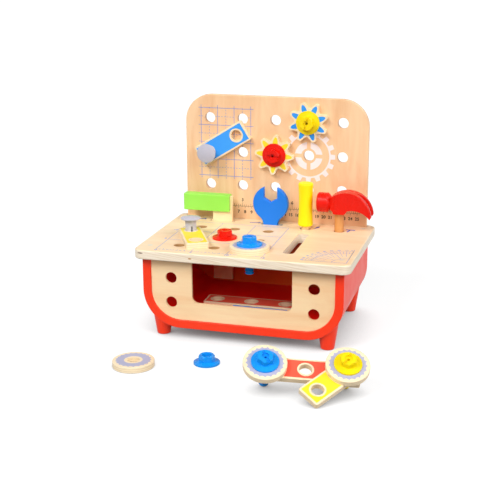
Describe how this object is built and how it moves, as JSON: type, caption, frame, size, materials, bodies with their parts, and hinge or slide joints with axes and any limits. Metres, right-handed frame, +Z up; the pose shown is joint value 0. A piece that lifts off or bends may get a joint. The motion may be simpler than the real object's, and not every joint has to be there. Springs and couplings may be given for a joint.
{
  "type": "toy workbench",
  "caption": "Wooden play workbench: red bent-wood base with storage window, printed worktop with peg holes, tall peg board, hanging tools and plates, gears, bolts and pegs to build with.",
  "frame": {"origin": "on the floor, straight under the middle of the worktop", "axes": "+X to the right of a person standing at the front, +Y to the back board, +Z up"},
  "size_m": [0.3472, 0.398, 0.3116],
  "materials": {
    "plain_wood": "sanded beech plywood, clear satin lacquer",
    "handle_wood": "turned hardwood, clear lacquer",
    "red_wood": "wood with satin red paint",
    "blue_wood": "wood with satin blue paint",
    "yellow_wood": "wood with satin yellow paint",
    "green_wood": "wood with satin green paint",
    "red_plastic": "moulded plastic, glossy",
    "blue_plastic": "moulded plastic, glossy",
    "yellow_plastic": "moulded plastic, glossy",
    "grey_plastic": "moulded plastic, glossy",
    "steel": "plain steel screws"
  },
  "bodies": {
    "bench": {"shell": "red_wood", "foot_front_left": "red_wood", "foot_front_right": "red_wood", "foot_rear_left": "red_wood", "foot_rear_right": "red_wood", "front_panel": "plain_wood", "back_board": "plain_wood", "worktop": "plain_wood", "worktop_dowels": "plain_wood", "board_screws": "steel"},
    "try_square": {"square_stock": "green_wood", "square_blade": "plain_wood"},
    "open_wrench": {"wrench": "blue_wood"},
    "screwdriver": {"screwdriver_handle": "yellow_wood", "screwdriver_shaft": "plain_wood"},
    "hammer": {"hammer_head": "red_plastic", "hammer_handle": "handle_wood"},
    "wall_strip": {"board_strip_blue": "blue_wood"},
    "wall_peg": {"board_peg": "grey_plastic"},
    "blue_gear": {"star_gear_blue": "blue_wood"},
    "yellow_gear": {"star_gear_yellow": "yellow_wood"},
    "blue_gear_bolt": {"board_bolt_yellow": "yellow_plastic", "board_nut_yellow": "yellow_plastic"},
    "yellow_gear_bolt": {"board_bolt_red": "red_plastic", "board_nut_red": "red_plastic"},
    "deck_strip": {"top_strip_yellow": "yellow_wood"},
    "deck_peg": {"top_peg": "grey_plastic"},
    "deck_red_bolt": {"top_bolt_red": "red_plastic"},
    "deck_disc": {"top_disc": "plain_wood"},
    "deck_blue_bolt": {"top_bolt_blue": "blue_plastic"},
    "box_red_strip": {"stored_strip_red": "red_wood"},
    "box_blue_strip": {"stored_strip_blue": "blue_wood"},
    "loose_disc": {"floor_disc": "plain_wood"},
    "loose_nut": {"floor_nut_blue": "blue_plastic"},
    "linkage": {"link_strip_red": "red_wood", "link_bolt_blue": "blue_plastic", "link_bolt_yellow": "yellow_plastic"},
    "linkage_near_disc": {"link_disc_near": "plain_wood"},
    "linkage_far_disc": {"link_disc_far": "plain_wood"},
    "linkage_arm": {"link_arm_yellow": "yellow_wood"}
  },
  "joints": [
    {"name": "hammer_lift", "type": "slide", "parent": "bench", "child": "hammer", "axis": [0, 0, 1], "range_m": [0, 0.12]},
    {"name": "screwdriver_lift", "type": "slide", "parent": "bench", "child": "screwdriver", "axis": [0, 0, 1], "range_m": [0, 0.125]},
    {"name": "wrench_lift", "type": "slide", "parent": "bench", "child": "open_wrench", "axis": [0, 0, 1], "range_m": [-0.008, 0.033]},
    {"name": "square_lift", "type": "slide", "parent": "bench", "child": "try_square", "axis": [0, 0, 1], "range_m": [-0.009, 0.046]},
    {"name": "wall_strip_turn", "type": "hinge", "parent": "bench", "child": "wall_strip", "pos_m": [-0.1, 0.0887, 0.227], "axis": [0, -1, 0], "continuous": true},
    {"name": "wall_peg_pull", "type": "slide", "parent": "bench", "child": "wall_peg", "axis": [0, -1, 0], "range_m": [-0.0105, 0.03]},
    {"name": "blue_gear_spin", "type": "hinge", "parent": "bench", "child": "blue_gear", "pos_m": [0.05, 0.0887, 0.277], "axis": [0, -1, 0], "continuous": true},
    {"name": "yellow_gear_spin", "type": "hinge", "parent": "bench", "child": "yellow_gear", "pos_m": [0, 0.0887, 0.227], "axis": [0, -1, 0], "continuous": true},
    {"name": "blue_gear_bolt_turn", "type": "hinge", "parent": "bench", "child": "blue_gear_bolt", "pos_m": [0.05, 0.0887, 0.277], "axis": [0, -1, 0], "continuous": true},
    {"name": "yellow_gear_bolt_turn", "type": "hinge", "parent": "bench", "child": "yellow_gear_bolt", "pos_m": [0, 0.0887, 0.227], "axis": [0, -1, 0], "continuous": true},
    {"name": "deck_strip_turn", "type": "hinge", "parent": "bench", "child": "deck_strip", "pos_m": [-0.095, -0.018, 0.13], "axis": [0, 0, 1], "range_deg": [-250, 20]},
    {"name": "deck_peg_push", "type": "slide", "parent": "bench", "child": "deck_peg", "axis": [0, 0, 1], "range_m": [-0.0156, 0.03]},
    {"name": "deck_red_bolt_lift", "type": "slide", "parent": "bench", "child": "deck_red_bolt", "axis": [0, 0, 1], "range_m": [0, 0.06]},
    {"name": "deck_disc_spin", "type": "hinge", "parent": "bench", "child": "deck_disc", "pos_m": [0.005, -0.068, 0.13], "axis": [0, 0, 1], "continuous": true},
    {"name": "deck_blue_bolt_lift", "type": "slide", "parent": "bench", "child": "deck_blue_bolt", "axis": [0, 0, 1], "range_m": [0, 0.06]},
    {"name": "box_red_strip_lift", "type": "slide", "parent": "bench", "child": "box_red_strip", "axis": [0, 0, 1], "range_m": [0, 0.04]},
    {"name": "box_blue_strip_lift", "type": "slide", "parent": "bench", "child": "box_blue_strip", "axis": [0, 0, 1], "range_m": [0, 0.04]},
    {"name": "loose_disc_lift", "type": "slide", "parent": "bench", "child": "loose_disc", "axis": [0, 0, 1], "range_m": [0, 0.1]},
    {"name": "loose_nut_lift", "type": "slide", "parent": "bench", "child": "loose_nut", "axis": [0, 0, 1], "range_m": [0, 0.1]},
    {"name": "linkage_lift", "type": "slide", "parent": "bench", "child": "linkage", "axis": [0, 0, 1], "range_m": [0, 0.1]},
    {"name": "linkage_near_disc_spin", "type": "hinge", "parent": "linkage", "child": "linkage_near_disc", "pos_m": [0.07108, -0.23489, 0.03491], "axis": [0.1642, -0.4441, 0.8808], "continuous": true},
    {"name": "linkage_far_disc_spin", "type": "hinge", "parent": "linkage", "child": "linkage_far_disc", "pos_m": [0.16969, -0.21643, 0.03491], "axis": [0.1642, -0.4441, 0.8808], "continuous": true},
    {"name": "linkage_arm_turn", "type": "hinge", "parent": "linkage", "child": "linkage_arm", "pos_m": [0.16838, -0.21288, 0.02787], "axis": [0.1642, -0.4441, 0.8808], "range_deg": [-250, 0]}
  ]
}
